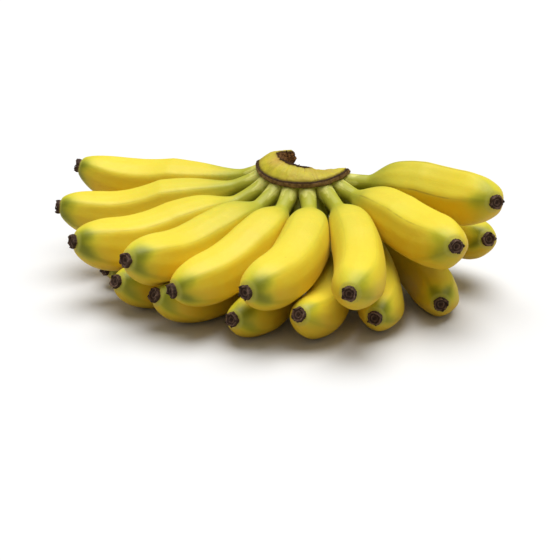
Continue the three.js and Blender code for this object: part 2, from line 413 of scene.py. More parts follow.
def plus(*values):
    """The sum of some values."""
    return functools.reduce(lambda first, second: calc("ADD", first, second), values)


def minus(first, second):
    """The first value less the second."""
    return calc("SUBTRACT", first, second)


def ramp(value, low, high):
    """0 where the value is at low, 1 where it is at high, and an S-shaped way between them."""
    inputs = {"Value": value, "From Min": low, "From Max": high}
    return result_of(value.id_data, "ShaderNodeMapRange", inputs, interpolation_type="SMOOTHSTEP")


def vector_calc(operation, first, second):
    """A Vector Math node's result. Scaling takes a number as its second value."""
    inputs = {0: first, "Scale" if operation == "SCALE" else 1: second}
    return result_of(first.id_data, "ShaderNodeVectorMath", inputs, operation=operation)


def vector_of(tree, x, y, z):
    """A vector from its three parts."""
    return result_of(tree, "ShaderNodeCombineXYZ", {"X": x, "Y": y, "Z": z})


def parts_of(vector):
    """A vector's three parts."""
    return add_node(vector.id_data, "ShaderNodeSeparateXYZ", {"Vector": vector}).outputs


def new_tree(name, kind, inputs, *outputs):
    """A node group, whose inputs have a default number or a kind of socket, with its two ends."""
    tree = bpy.data.node_groups.new(name, kind)
    for label, given in inputs.items():
        socket = NUMBER_SOCKETS.get(type(given), given)
        made = tree.interface.new_socket(name=label, in_out="INPUT", socket_type=f"NodeSocket{socket}")
        if socket != given:
            made.default_value = given
    for label in outputs:
        socket = "Geometry" if label == "Geometry" else "Float"
        tree.interface.new_socket(name=label, in_out="OUTPUT", socket_type=f"NodeSocket{socket}")
    return tree, tree.nodes.new("NodeGroupInput").outputs, tree.nodes.new("NodeGroupOutput").inputs


# ---------------------------------------------------------------------------------------------------------
# Geometry trees.

# A surface is bare enough for torn fibres above this much of its cut attribute.
BARE_CUT = 0.75


def named(tree, name, data_type="FLOAT"):
    """A stored attribute, read inside a geometry tree."""
    return result_of(tree, "GeometryNodeInputNamedAttribute", {"Name": name}, data_type=data_type)


def chance(seed, salt, low, high, data_type="FLOAT"):
    """A random value between two bounds, from the seed and a salt of its own."""
    node = add_node(seed.id_data, "FunctionNodeRandomValue", data_type=data_type)
    sockets = {socket.name: socket for socket in node.inputs if socket.enabled}
    feed(sockets, {"Min": low, "Max": high, "Seed": plus(seed, salt)})
    return next(socket for socket in node.outputs if socket.enabled)


def blunt_cone(sides, steps, length, width, top):
    """A slim cone that stands up from the origin, with its top's width as a share of its foot's."""
    inputs = {
        "Vertices": sides,
        "Side Segments": steps,
        "Radius Top": times(width, top),
        "Radius Bottom": width,
        "Depth": length,
    }
    return result_of(length.id_data, "GeometryNodeMeshCone", inputs, fill_type="NGON")


def strew(points, shape, turn, size):
    """Sets the shape on each point, turned and sized."""
    inputs = {"Points": points, "Instance": shape, "Rotation": turn, "Scale": size}
    return result_of(points.id_data, "GeometryNodeInstanceOnPoints", inputs)


def end_tree(result, geometry, skin):
    """Ends a tree with real geometry and its material."""
    tree = geometry.id_data
    geometry = result_of(tree, "GeometryNodeRealizeInstances", {"Geometry": geometry})
    geometry = result_of(tree, "GeometryNodeSetMaterial", {"Geometry": geometry, "Material": skin})
    feed(result, {"Geometry": geometry})
    return tree


def sweep_tree():
    """A ridged, closed skin swept along a line whose points carry its girth and its axes."""
    inputs = {
        "Line": "Geometry",
        "Sides": 60,
        "Ridges": RIDGES,
        "Ridge Height": 0.02,
        "Ridge Sharpness": 0.2,
        "Roll": 0.0,
        "Skin": "Material",
    }
    tree, given, result = new_tree("Ridged sweep", "GeometryNodeTree", inputs, "Geometry")
    size = add_node(tree, "GeometryNodeAttributeDomainSize", {"Geometry": given["Line"]}, component="MESH")
    steps = minus(size.outputs["Point Count"], 1)
    inputs = {"Vertices": given["Sides"], "Side Segments": steps, "Radius": 1.0, "Depth": 1.0}
    tube = result_of(tree, "GeometryNodeMeshCylinder", inputs, fill_type="TRIANGLE_FAN")
    x, y, z = parts_of(result_of(tree, "GeometryNodeInputPosition"))
    ring = calc("ROUND", times(plus(z, 0.5), steps))
    reach = calc("SQRT", plus(times(x, x), times(y, y)))
    turn = calc("ARCTAN2", y, x)

    def on_line(value, data_type="FLOAT"):
        inputs = {"Geometry": given["Line"], "Value": value, "Index": ring}
        return result_of(tree, "GeometryNodeSampleIndex", inputs, data_type=data_type)

    place = on_line(result_of(tree, "GeometryNodeInputPosition"), "FLOAT_VECTOR")
    up = on_line(named(tree, "up", "FLOAT_VECTOR"), "FLOAT_VECTOR")
    side = on_line(named(tree, "side", "FLOAT_VECTOR"), "FLOAT_VECTOR")
    girth = on_line(named(tree, "girth"))
    along = on_line(named(tree, "along"))

    angle = plus(turn, given["Roll"])
    to_top = vector_calc("SCALE", up, calc("COSINE", angle))
    to_side = vector_calc("SCALE", side, calc("SINE", angle))
    ray = vector_calc("ADD", to_top, to_side)
    ridge = calc("COSINE", times(turn, given["Ridges"]))
    edge = minus(times(ridge, ridge, 2.0), 1.0)
    crest = plus(ridge, times(edge, given["Ridge Sharpness"]))
    rise = times(given["Ridge Height"], on_line(named(tree, "ridging")))
    radius = times(girth, plus(times(crest, rise), 1.0), reach)
    stored = {
        "ring": ("INT", ring),
        "along": ("FLOAT", along),
        "to_end": ("FLOAT", on_line(named(tree, "to_end"))),
        "ridge": ("FLOAT", ridge),
        "skin_map": (
            "FLOAT_VECTOR",
            vector_of(tree, times(calc("COSINE", turn), girth), times(calc("SINE", turn), girth), along),
        ),
    }
    for name, (data_type, value) in stored.items():
        inputs = {"Geometry": tube, "Name": name, "Value": value}
        tube = result_of(tree, "GeometryNodeStoreNamedAttribute", inputs, data_type=data_type)
    moved = vector_calc("ADD", place, vector_calc("SCALE", ray, radius))
    skin = result_of(tree, "GeometryNodeSetPosition", {"Geometry": tube, "Position": moved})
    skin = result_of(tree, "GeometryNodeFlipFaces", {"Mesh": skin})
    skin = result_of(tree, "GeometryNodeSetShadeSmooth", {"Geometry": skin})
    return end_tree(result, skin, given["Skin"])


def tepal_tree():
    """A ring of dry, curled flower leaves, set round the rim of a dried flower and joined to it."""
    inputs = {
        "Cup": "Geometry",
        "Count": 5,
        "Rim Radius": 0.0036,
        "Rim Height": 0.0030,
        "Length": 0.0024,
        "Width": 0.0011,
        "Curl": 0.5,
        "Seed": 0,
        "Skin": "Material",
    }
    tree, given, result = new_tree("Dry tepals", "GeometryNodeTree", inputs, "Geometry")
    length, seed = given["Length"], given["Seed"]
    blade = blunt_cone(10, 6, length, given["Width"], 0.35)
    x, y, z = parts_of(result_of(tree, "GeometryNodeInputPosition"))
    share = calc("DIVIDE", z, length)
    bend = times(share, share, given["Curl"], length)
    curled = vector_of(tree, x, plus(times(y, 0.4), bend), z)
    blade = result_of(tree, "GeometryNodeSetPosition", {"Geometry": blade, "Position": curled})
    inputs = {"Vertices": given["Count"], "Radius": given["Rim Radius"]}
    rim = result_of(tree, "GeometryNodeMeshCircle", inputs)
    lift = vector_of(tree, 0.0, 0.0, given["Rim Height"])
    rim = result_of(tree, "GeometryNodeSetPosition", {"Geometry": rim, "Offset": lift})
    turn = calc("DIVIDE", times(result_of(tree, "GeometryNodeInputIndex"), 2 * math.pi), given["Count"])
    lean = vector_of(tree, chance(seed, 1, -0.5, 0.3), chance(seed, 2, -0.3, 0.3), minus(turn, math.pi / 2))
    sizes = vector_of(tree, chance(seed, 3, 0.7, 1.3), chance(seed, 4, 0.8, 1.2), chance(seed, 5, 0.35, 1.0))
    joined = tree.nodes.new("GeometryNodeJoinGeometry")
    tree.links.new(strew(rim, blade, lean, sizes), joined.inputs[0])
    tree.links.new(given["Cup"], joined.inputs[0])
    whole = result_of(tree, "GeometryNodeSetShadeSmooth", {"Geometry": joined.outputs[0]})
    return end_tree(result, whole, given["Skin"])


def fibre_tree():
    """Short torn fibre ends, strewn where a surface is cut."""
    inputs = {
        "Surface": "Geometry",
        "Density": 5.0e5,
        "Length": 0.0010,
        "Thickness": 0.00028,
        "Seed": 0,
        "Skin": "Material",
    }
    tree, given, result = new_tree("Cut fibres", "GeometryNodeTree", inputs, "Geometry")
    seed = given["Seed"]
    inputs = {
        "Mesh": given["Surface"],
        "Selection": calc("GREATER_THAN", named(tree, "cut"), BARE_CUT),
        "Density": given["Density"],
        "Seed": seed,
    }
    strewn = add_node(tree, "GeometryNodeDistributePointsOnFaces", inputs).outputs
    fibre = blunt_cone(5, 2, given["Length"], given["Thickness"], 0.45)
    lean = chance(seed, 1, (-0.7, -0.7, 0), (0.7, 0.7, 6), "FLOAT_VECTOR")
    lean = result_of(tree, "FunctionNodeEulerToRotation", {"Euler": lean})
    inputs = {"Rotation": strewn["Rotation"], "Rotate By": lean}
    turned = result_of(tree, "FunctionNodeRotateRotation", inputs, rotation_space="LOCAL")
    sizes = chance(seed, 2, (0.6, 0.6, 0.4), (1.5, 1.5, 1.4), "FLOAT_VECTOR")
    return end_tree(result, strew(strewn["Points"], fibre, turned, sizes), given["Skin"])


# ---------------------------------------------------------------------------------------------------------
# Effects that several materials use.


def mottling_group():
    """Soft irregular patches: 1 inside a patch and 0 outside it."""
    inputs = {"Vector": "Vector", "Scale": 60.0, "Coverage": 0.5, "Softness": 0.2}
    tree, given, result = new_tree("Mottling", "ShaderNodeTree", inputs, "Patches")
    inputs = {"Vector": given["Vector"], "Scale": given["Scale"], "Detail": 4.0, "Roughness": 0.55}
    noise = result_of(tree, "ShaderNodeTexNoise", inputs)
    middle, soft = minus(1.0, given["Coverage"]), given["Softness"]
    feed(result, {"Patches": ramp(noise, minus(middle, soft), plus(middle, soft))})
    return tree


def speckle_group():
    """Small scattered dots of uneven size."""
    inputs = {"Vector": "Vector", "Scale": 300.0, "Size": 0.12, "Share": 0.3}
    tree, given, result = new_tree("Speckles", "ShaderNodeTree", inputs, "Dots")
    inputs = {"Vector": given["Vector"], "Scale": given["Scale"]}
    cells = add_node(tree, "ShaderNodeTexVoronoi", inputs).outputs
    luck, bigness, _ = parts_of(cells["Color"])
    size = times(given["Size"], plus(bigness, 0.3))
    inputs = {"Value": cells["Distance"], "From Min": size, "From Max": times(size, 0.3)}
    dot = result_of(tree, "ShaderNodeMapRange", inputs)
    feed(result, {"Dots": times(dot, calc("LESS_THAN", luck, given["Share"]))})
    return tree


def fibre_group():
    """Fine fibres that run along the vector's Z: a mask of light and dark strands, and their height."""
    inputs = {"Vector": "Vector", "Fineness": 2000.0, "Stretch": 12.0, "Waviness": 0.3}
    tree, given, result = new_tree("Fibres", "ShaderNodeTree", inputs, "Strands", "Height")
    squeeze = vector_of(tree, 1.0, 1.0, calc("DIVIDE", 1.0, given["Stretch"]))
    inputs = {
        "Vector": vector_calc("MULTIPLY", given["Vector"], squeeze),
        "Scale": given["Fineness"],
        "Detail": 3.0,
        "Roughness": 0.6,
        "Distortion": given["Waviness"],
    }
    noise = result_of(tree, "ShaderNodeTexNoise", inputs)
    feed(result, {"Strands": ramp(noise, 0.35, 0.65), "Height": noise})
    return tree


EFFECTS = {"Mottling": mottling_group, "Speckles": speckle_group, "Fibres": fibre_group}


def effect(name, vector, **inputs):
    """The outputs of a shared effect, built once and placed in a material with its own values."""
    node = vector.id_data.nodes.new("ShaderNodeGroup")
    node.node_tree = bpy.data.node_groups.get(name) or EFFECTS[name]()
    feed(node.inputs, {"Vector": vector, **inputs})
    return node.outputs


def patches(vector, scale, softness=0.2, coverage=0.5):
    """Soft irregular patches of a colour."""
    return effect("Mottling", vector, Scale=scale, Coverage=coverage, Softness=softness)[0]


def strands(vector, fineness, stretch, waviness):
    """The mask and the height of fine strands."""
    return effect("Fibres", vector, Fineness=fineness, Stretch=stretch, Waviness=waviness)


# ---------------------------------------------------------------------------------------------------------
# Materials.


def new_material(name):
    """A material with its node tree, its shader's inputs and the place of each point."""
    material = bpy.data.materials.new(name)
    material.use_nodes = True
    tree = material.node_tree
    shader = next(node for node in tree.nodes if node.type == "BSDF_PRINCIPLED")
    return material, tree, shader.inputs, add_node(tree, "ShaderNodeTexCoord").outputs["Object"]


def attributes(tree, *names, output="Fac"):
    """Stored attributes, read inside a material."""
    return [add_node(tree, "ShaderNodeAttribute", attribute_name=name).outputs[output] for name in names]


def mix(share, first, second):
    """A colour a share of the way from the first to the second."""
    inputs = {0: share}
    for index, colour in ((6, first), (7, second)):
        inputs[index] = colour if isinstance(colour, bpy.types.NodeSocket) else (*colour, 1.0)
    return add_node(share.id_data, "ShaderNodeMix", inputs, data_type="RGBA").outputs[2]


def cover(colour, other, *masks):
    """The first colour with the other laid over it, as strongly as the masks' product."""
    return mix(times(*masks), colour, other)


def bump(height, strength, distance):
    """The normal of a rough surface from its height."""
    inputs = {"Height": height, "Strength": strength, "Distance": distance}
    return result_of(height.id_data, "ShaderNodeBump", inputs)


def peel_material(look):
    """Waxy banana peel: yellow, green at its stalk and tip, rubbed brown along its ridges."""
    material, tree, shader, place = new_material("banana_peel")
    skin_map = attributes(tree, "skin_map", output="Vector")[0]
    along, to_end, ridge, upward = attributes(tree, "along", "to_end", "ridge", "upward")
    green_side, green, rubbed = attributes(tree, "green_side", "greenness", "rubbed")
    broad = patches(place, 38.0, 0.22)
    fine = patches(place, 210.0, 0.25)
    grain, grain_height = strands(skin_map, 900.0, 14.0, 0.4)
    dots = effect("Speckles", place, Scale=170.0, Size=0.09, Share=0.16)[0]

    # Painted light and shade, partly the peel's own colour: lemon yellow where the skin looks up and darker
    # golden where it looks down.
    painted_top_light = plus(ramp(upward, -0.35, 0.90), times(broad, -0.20))
    colour = mix(painted_top_light, look.golden_and_shade, look.ripe)
    colour = cover(colour, look.pale, fine, 0.20)
    colour = cover(colour, look.golden_and_shade, grain, 0.10)

    # Stalk green by the distance from the crown in metres, a painted pale highlight at its root, and green
    # veins.
    reach = plus(along, times(minus(fine, 0.5), 0.006), times(ridge, -0.003))
    unripe = times(green, plus(ramp(reach, 0.095, 0.025), 0.25), ramp(fine, -0.8, 0.8))
    colour = cover(colour, look.stalk, unripe, 0.75)
    stalk = ramp(calc("DIVIDE", reach, plus(times(green, 0.016), 0.024)), 1.35, 0.45)
    # Painted shade: a deeper green is painted on each stalk's lower side, where it looks down.
    shaded_stalk_green = cover(look.stalk, look.stalk_painted_shade, ramp(upward, 0.35, -0.50), 0.60)
    colour = cover(colour, shaded_stalk_green, stalk, 0.90)
    # Painted highlight: pale skin is painted where each stalk leaves the crown, standing in for light falling
    # there.
    colour = cover(colour, look.painted_collar_highlight, ramp(reach, 0.0080, 0.0030), 0.80)
    veins = times(ramp(ridge, 0.88, 1.0), ramp(along, 0.075, 0.020))
    colour = cover(colour, look.stalk, veins, times(green, 0.6))

    # Green of the tip, by the distance to it in metres, on the side that stays green longest.
    near_tip = plus(to_end, times(minus(broad, 0.5), 0.004), times(ridge, -0.0015))
    pale_green = times(ramp(near_tip, 0.0140, 0.0005), ramp(green_side, -0.5, 0.7))
    colour = cover(colour, look.tip_pale, pale_green, 0.80)
    beside = minus(1.0, times(ramp(to_end, 0.0010, 0.0002), 0.4))
    # On lower_8 this dark olive patch is also painted shadow from upper_9.
    patch = times(ramp(near_tip, 0.0090, 0.0005), ramp(green_side, 0.10, 1.0))
    colour = cover(colour, look.tip, patch, times(beside, 0.85))
    streak = times(ramp(ridge, 0.70, 1.0), ramp(to_end, 0.030, 0.008), ramp(green_side, -0.2, 0.7))
    colour = cover(colour, look.tip, streak, 0.18)
    colour = cover(colour, look.halo, ramp(to_end, 0.0016, 0.0004), 0.45)

    # Broken brown lines along the ridges, and brown dots.
    broken = patches(place, 120.0, coverage=0.55)
    line = times(ramp(ridge, 0.955, 1.0), broken, ramp(to_end, 0.008, 0.030))
    colour = cover(colour, look.ridge, line, times(rubbed, 0.6))
    colour = cover(colour, look.ridge, dots, 0.35)
    finish = {
        "Base Color": colour,
        "Roughness": plus(times(fine, 0.10), look.roughness),
        "Normal": bump(plus(times(grain_height, 0.7), times(fine, 0.5)), 0.35, 0.00035),
        "Specular IOR Level": 0.35,
        "Subsurface Weight": look.translucency,
        "Subsurface Radius": (1.0, 0.6, 0.12),
        "Subsurface Scale": 0.004,
        "Coat Weight": 0.06,
        "Coat Roughness": 0.35,
        "Sheen Weight": 0.10,
        "Sheen Roughness": 0.40,
        "Sheen Tint": (1.0, 0.90, 0.25, 1.0),
    }
    feed(shader, finish)
    return material


def crown_material(look):
    """The crown's leathery skin, with the dark fibrous flesh where it was cut."""
    material, tree, shader, place = new_material("crown_skin")
    round_map = attributes(tree, "round_map", output="Vector")[0]
    cut, below, rim = attributes(tree, "cut", "below", "rim")
    broad = patches(place, 75.0)
    small = patches(place, 190.0)
    fine = patches(place, 620.0, 0.25)
    streaks, crack_height = strands(round_map, 420.0, 7.0, 0.9)
    fibres, fibre_height = strands(place, 1500.0, 1.6, 1.5)
    # Skin with tan and green patches, olive streaks, a bruise, thin cracks and a pale underside.
    skin = cover(look.skin, look.skin_tan, broad, 0.9)
    skin = cover(skin, look.skin_tan, small, 0.35)
    skin = cover(skin, look.skin_green, fine, 0.4)
    skin = cover(skin, look.skin_streak, streaks, 0.25)
    around = parts_of(round_map)["X"]
    high = parts_of(place)["Z"]
    bruise = times(ramp(around, -0.030, -0.022), ramp(around, -0.008, -0.016), ramp(high, 0.0655, 0.0700))
    skin = cover(skin, look.bruise, bruise, 0.50)
    skin = cover(skin, look.crack, ramp(crack_height, 0.40, 0.33), 0.35)
    skin = cover(skin, look.crack, rim, 0.55)
    skin = cover(skin, look.underside, below)
    # Fibrous flesh where the crown was cut.
    flesh = cover(look.cut_dark, look.cut_light, fibres)
    flesh = cover(flesh, look.cut_dark, rim)
    bare = ramp(plus(cut, times(minus(fine, 0.5), 0.35)), 0.42, 0.58)
    height = plus(times(crack_height, 0.6), times(fine, 0.4), times(bare, fibre_height, 2.0))
    finish = {
        "Base Color": mix(bare, skin, flesh),
        "Roughness": plus(times(bare, 0.35), 0.5),
        "Normal": bump(height, 0.6, 0.0006),
        "Specular IOR Level": 0.22,
    }
    feed(shader, finish)
    return material


def scar_material(look):
    """The corky bract scar: dark rims and a paler, scuffed middle."""
    material, tree, shader, place = new_material("bract_scar")
    skin_map = attributes(tree, "skin_map", output="Vector")[0]
    face = attributes(tree, "face")[0]
    scuffs = patches(place, 420.0, 0.14)
    furrows = strands(skin_map, 1400.0, 5.0, 1.0)["Height"]
    colour = cover(look.scar, look.scar_light, ramp(face, 0.88, 0.995), ramp(scuffs, -0.8, 1.0))
    finish = {
        "Base Color": cover(colour, look.cut_dark, ramp(furrows, 0.5, 0.3), 0.8),
        "Roughness": minus(0.85, times(scuffs, 0.2)),
        "Normal": bump(plus(furrows, times(scuffs, 0.3)), 0.8, 0.0006),
        "Specular IOR Level": 0.3,
    }
    feed(shader, finish)
    return material


def flower_material(look):
    """Dry flower: near black brown wall, a paler worn rim and middle, and a tan foot, with fine wrinkles."""
    material, tree, shader, place = new_material("dried_flower")
    skin_map = attributes(tree, "skin_map", output="Vector")[0]
    worn, foot = attributes(tree, "worn", "foot")
    dust = patches(place, 620.0)
    wrinkles, wrinkle_height = strands(skin_map, 1500.0, 5.0, 0.8)
    colour = cover(look.dark, look.brown, wrinkles, 0.6)
    colour = cover(colour, look.ashen, worn, ramp(dust, -0.3, 1.0))
    finish = {
        "Base Color": cover(colour, look.foot, foot),
        "Roughness": plus(times(dust, 0.2), 0.6),
        "Normal": bump(wrinkle_height, 0.9, 0.0006),
        "Specular IOR Level": 0.3,
    }
    feed(shader, finish)
    return material


def floor_material(look):
    """A plain pale tabletop that throws little light back at what lies on it."""
    material, tree, shader, place = new_material("pale_floor")
    shade = tuple(0.985 * value for value in look.floor)
    seen = add_node(tree, "ShaderNodeLightPath").outputs["Is Camera Ray"]
    colour = mix(patches(place, 3.0, 0.4), look.floor, shade)
    colour = mix(seen, look.floor_bounce, colour)
    feed(shader, {"Base Color": colour, "Roughness": 0.9, "Specular IOR Level": 0.0})
    return material


# ---------------------------------------------------------------------------------------------------------
# Settings that a user would change.


def count_setting(name, description, default, least):
    """A whole number."""
    return IntProperty(name=name, description=description, default=default, min=least)


def number_setting(name, description, default, subtype="NONE"):
    """A plain number, a share or an angle."""
    return FloatProperty(name=name, description=description, default=default, subtype=subtype)


def length_setting(name, description, default):
    """A size in metres."""
    return FloatProperty(name=name, description=description, default=default, min=0.0, subtype="DISTANCE")


def colour_setting(name, description, default):
    """A colour, as linear red, green and blue."""
    return FloatVectorProperty(
        name=name, description=description, default=default, min=0.0, max=1.0, size=3, subtype="COLOR"
    )


class PeelSettings(bpy.types.PropertyGroup):
    """The bananas' skins."""

    rings: count_setting("Rings", "Rings along one banana", 132, 24)
    sides: count_setting("Sides", "Points round one banana", 80, 20)
    ridge_height: number_setting("Ridge height", "Height of the ridges, as a share of girth", 0.048, "FACTOR")
    ridge_sharpness: number_setting("Ridge sharpness", "How crisp the ridges are", 0.28)
    lump_height: length_setting("Lump height", "Unevenness of the skin", 0.00030)
    skin_gap: length_setting("Skin gap", "Air between two bananas that press on each other", 0.00012)
    press_softness: length_setting("Press softness", "How softly a pressed skin turns away", 0.0012)
    roughness: number_setting("Roughness", "Roughness of the wax", 0.46, "FACTOR")
    translucency: number_setting("Translucency", "How much light soaks into the peel", 0.12, "FACTOR")
    # These two colours also paint light and shade: the peel is lemon where it looks up and darker golden
    # where it looks down.
    ripe: colour_setting("Ripe", "Lemon yellow of the peel on top", (0.83, 0.69, 0.035))
    golden_and_shade: colour_setting("Golden", "Golden yellow of the peel underneath", (0.82, 0.51, 0.012))
    pale: colour_setting("Pale", "Palest yellow patches", (0.87, 0.74, 0.07))
    stalk: colour_setting("Stalk", "Green of the stalks", (0.40, 0.41, 0.032))
    # Painted shade on the lower side of each stalk.
    stalk_painted_shade: colour_setting("Deep stalk", "Deeper green on a stalk's lower side", (0.19, 0.19, 0.010))
    # Painted highlight where a stalk leaves the crown.
    painted_collar_highlight: colour_setting("Collar", "Pale skin where a stalk leaves the crown", (0.72, 0.69, 0.18))
    tip: colour_setting("Tip", "Olive green near the tips", (0.160, 0.178, 0.002))
    tip_pale: colour_setting("Pale tip", "Yellow green round the tips", (0.47, 0.50, 0.012))
    halo: colour_setting("Halo", "Pale green round the dried flower", (0.50, 0.48, 0.09))
    ridge: colour_setting("Ridge", "Brown of rubbed ridges", (0.26, 0.17, 0.02))


class CrownSettings(bpy.types.PropertyGroup):
    """The crown that the bananas grow from, with its scar and its cut."""

    steps: count_setting("Steps", "Sections round the crown", 250, 40)
    scar_height: length_setting("Scar height", "Height of the corky scar", 0.0037)
    scar_depth: length_setting("Scar depth", "Thickness of the corky scar", 0.0018)
    fibre_density: number_setting("Fibre density", "Torn fibres per square metre", 6.0e5)
    fibre_length: length_setting("Fibre length", "Length of a torn fibre", 0.0006)
    skin: colour_setting("Skin", "Yellow green of the crown's skin", (0.70, 0.59, 0.036))
    skin_tan: colour_setting("Tan", "Orange tan patches", (0.50, 0.33, 0.040))
    skin_green: colour_setting("Green", "Greener patches", (0.47, 0.48, 0.030))
    skin_streak: colour_setting("Streaks", "Olive streaks across the skin", (0.34, 0.31, 0.022))
    bruise: colour_setting("Bruise", "Pinkish tan of the bruise beside the cut", (0.66, 0.37, 0.10))
    underside: colour_setting("Underside", "Pale green under the scar", (0.36, 0.37, 0.06))
    crack: colour_setting("Cracks", "Brown of the fine cracks", (0.17, 0.09, 0.02))
    scar: colour_setting("Scar", "Dark brown of the scar", (0.065, 0.030, 0.006))
    scar_light: colour_setting("Scuffed scar", "Paler brown of its middle", (0.42, 0.235, 0.12))
    cut_dark: colour_setting("Dark cut", "Darkest brown of the cut", (0.036, 0.015, 0.003))
    cut_light: colour_setting("Light cut", "Paler brown of the cut", (0.46, 0.22, 0.070))


class FlowerSettings(bpy.types.PropertyGroup):
    """The dried flower on each tip."""

    sides: count_setting("Sides", "Points round one flower", 60, 20)
    tepals: count_setting("Tepals", "Dry leaves round the rim", 5, 3)
    tepal_length: length_setting("Tepal length", "Length of the longest leaf", 0.0010)
    tepal_width: length_setting("Tepal width", "Half of a leaf's width", 0.0013)
    dark: colour_setting("Dark", "Darkest brown", (0.022, 0.009, 0.004))
    brown: colour_setting("Brown", "Paler brown of the wrinkles", (0.105, 0.048, 0.024))
    ashen: colour_setting("Ashen", "Ashen brown of the worn rim", (0.28, 0.17, 0.115))
    foot: colour_setting("Foot", "Where it grows from the peel", (0.26, 0.17, 0.06))


class StageSettings(bpy.types.PropertyGroup):
    """The floor, the light and the camera."""

    floor: colour_setting("Floor", "Colour of the floor", (0.77, 0.77, 0.77))
    floor_bounce: colour_setting("Floor bounce", "Light that the floor throws back", (0.52, 0.50, 0.44))
    sky: number_setting("Sky", "Strength of the light from all round", 0.24)
    key: number_setting("Key light", "Strength of the broad light overhead", 3.5)
    key_spread: number_setting("Key spread", "How wide the overhead light is", math.radians(56.0), "ANGLE")
    lens: FloatProperty(name="Lens", description="Focal length", default=101.48, unit="CAMERA")
    tilt: number_setting("Tilt", "How far the camera looks down", math.radians(22.0), "ANGLE")
    camera_place: FloatVectorProperty(
        name="Camera",
        description="Where the camera stands",
        default=(0.00362, -0.81137, 0.33921),
        subtype="XYZ",
    )


class HandSettings(bpy.types.PropertyGroup):
    """All the settings of the hand of bananas."""

    peel: PointerProperty(type=PeelSettings)
    crown: PointerProperty(type=CrownSettings)
    flower: PointerProperty(type=FlowerSettings)
    stage: PointerProperty(type=StageSettings)


# ---------------------------------------------------------------------------------------------------------
# The bananas.

# How much closer together the rings are at the ends of a banana.
RING_CROWDING = 0.1

# How strong the ridges are on a stalk and at a tip, as a share of the body's, the distances from the crown
# between which they grow, and how far from the tip they start to fade, in metres.
STALK_RIDGES = 0.15
TIP_RIDGES = 0.3
RIDGES_GROW = (0.008, 0.035)
RIDGES_FADE = 0.022

# The points beyond the tip where a skin closes: millimetres past it, and the share of its girth there.
TIP_CLOSING = np.array([(0.15, 0.95), (0.30, 0.84), (0.35, 0.45)])

# The skin's lumps: their size and that of smaller ones on them, in metres, and the smaller ones' strength. On
# the stalk all of them have a share of their strength.
SKIN_LUMPS = (0.026, 0.008, 0.25)
STALK_LUMPS = 0.3

# How near a neighbour comes before it presses, the least share of a girth that pressing leaves, and in how
# many steps the contact is found.
PRESS_REACH = 0.002
LEAST_GIRTH = 0.2
PRESS_STEPS = 10

# A point this near the middle line, as a share of the girth, closes an end of the skin and isn't pressed.
END_MIDDLE = 0.02

# A skin that looks down more steeply than this can meet the floor, and the rest has this reach, in metres.
LOOKS_DOWN = -0.01
FREE_REACH = 1.0


def ring_parts(count):
    """Parts of a banana's length for its rings, closer together at its stalk and its tip."""
    even = np.linspace(0, 1, count)
    return even - RING_CROWDING * np.sin(2 * math.pi * even)


def swept_piece(name, tree, line, inputs):
    """Sweeps a skin along a line, given by its points' places and measures."""
    guide = bpy.data.meshes.new(name)
    count = len(line["place"])
    guide.from_pydata(line["place"].tolist(), [(step, step + 1) for step in range(count - 1)], [])
    write_attributes(guide, **{name: values for name, values in line.items() if name != "place"})
    return grow(link_object(name, guide), tree, inputs)


def banana_line(banana, count):
    """The banana's middle line from inside the crown to its closed tip."""
    parts = ring_parts(count)
    girths = banana.girths(parts)
    along, up, side = banana.axes(parts)
    places = banana.spine(parts)
    beyond = TIP_CLOSING[:, 0] * MM
    distance = np.concatenate([[-ROOT_DEPTH * MM], parts * banana.length, banana.length + beyond])
    near_stalk = 1 - smooth_step(distance, *RIDGES_GROW)
    near_tip = smooth_step(distance, banana.length - RIDGES_FADE, banana.length)
    return {
        "place": np.concatenate([[banana.root], places, places[-1] + along[-1] * beyond[:, None]]),
        "up": np.concatenate([up[:1], up, up[-1:].repeat(len(beyond), 0)]),
        "side": np.concatenate([side[:1], side, side[-1:].repeat(len(beyond), 0)]),
        "girth": np.concatenate([girths[:1], girths, girths[-1] * TIP_CLOSING[:, 1]]),
        "along": distance,
        "to_end": np.maximum(banana.length - distance, 0),
        "ridging": 1 - (1 - STALK_RIDGES) * near_stalk - (1 - TIP_RIDGES) * near_tip,
    }


def clearance(line, points):
    """How far points lie outside a banana's round body; negative inside it."""
    nearest = np.full(len(points), np.inf)
    places, girths = line["place"][::3], line["girth"][::3]
    for start, end, thick, thin in zip(places[:-1], places[1:], girths[:-1], girths[1:]):
        way = end - start
        part = np.clip((points - start) @ way / (way @ way), 0, 1)
        distance = np.linalg.norm(points - start - part[:, None] * way, axis=1)
        nearest = np.minimum(nearest, distance - blend(thick, thin, part))
    return nearest


def come_near(first, second):
    """Whether two bananas' round bodies come within reach of each other."""
    return (clearance(second, first["place"]) - first["girth"]).min() < PRESS_REACH


